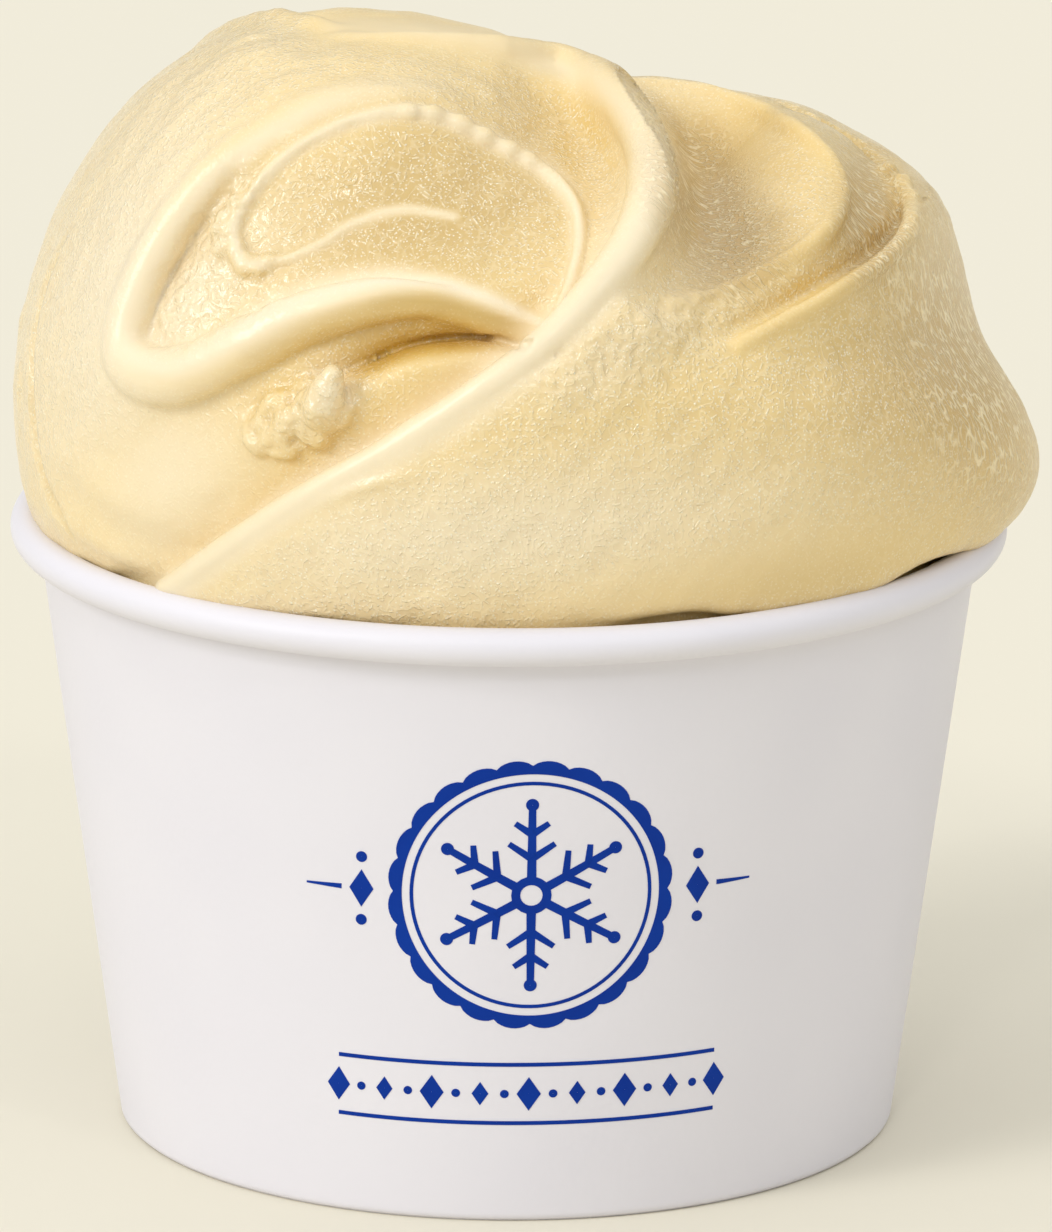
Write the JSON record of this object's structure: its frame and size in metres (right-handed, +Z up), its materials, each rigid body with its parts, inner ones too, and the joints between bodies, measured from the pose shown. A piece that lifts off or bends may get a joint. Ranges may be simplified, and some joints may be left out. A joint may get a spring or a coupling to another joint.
{
  "type": "gelato cup",
  "caption": "Paper ice cream cup with a rolled rim, heaped with a scoop of pale gelato folded over itself with a spatula.",
  "frame": {"origin": "under the middle of the whole, on the surface that the cup stands on; the cup's own axis is 1.39 mm towards -X of it, because the gelato hangs over the rim at +X", "axes": "+Z up, -Y the serving side where the gelato's folds show, +X to the right of someone who looks at that side"},
  "size_m": [0.0986, 0.096, 0.1098],
  "materials": {
    "paper": "coated white, slight sheen",
    "uncoated_paper": "uncoated white",
    "gelato": "moist and creamy"
  },
  "bodies": {
    "root": {"cup_wall": "paper", "cup_floor": "uncoated_paper", "gelato": "gelato"}
  },
  "joints": []
}
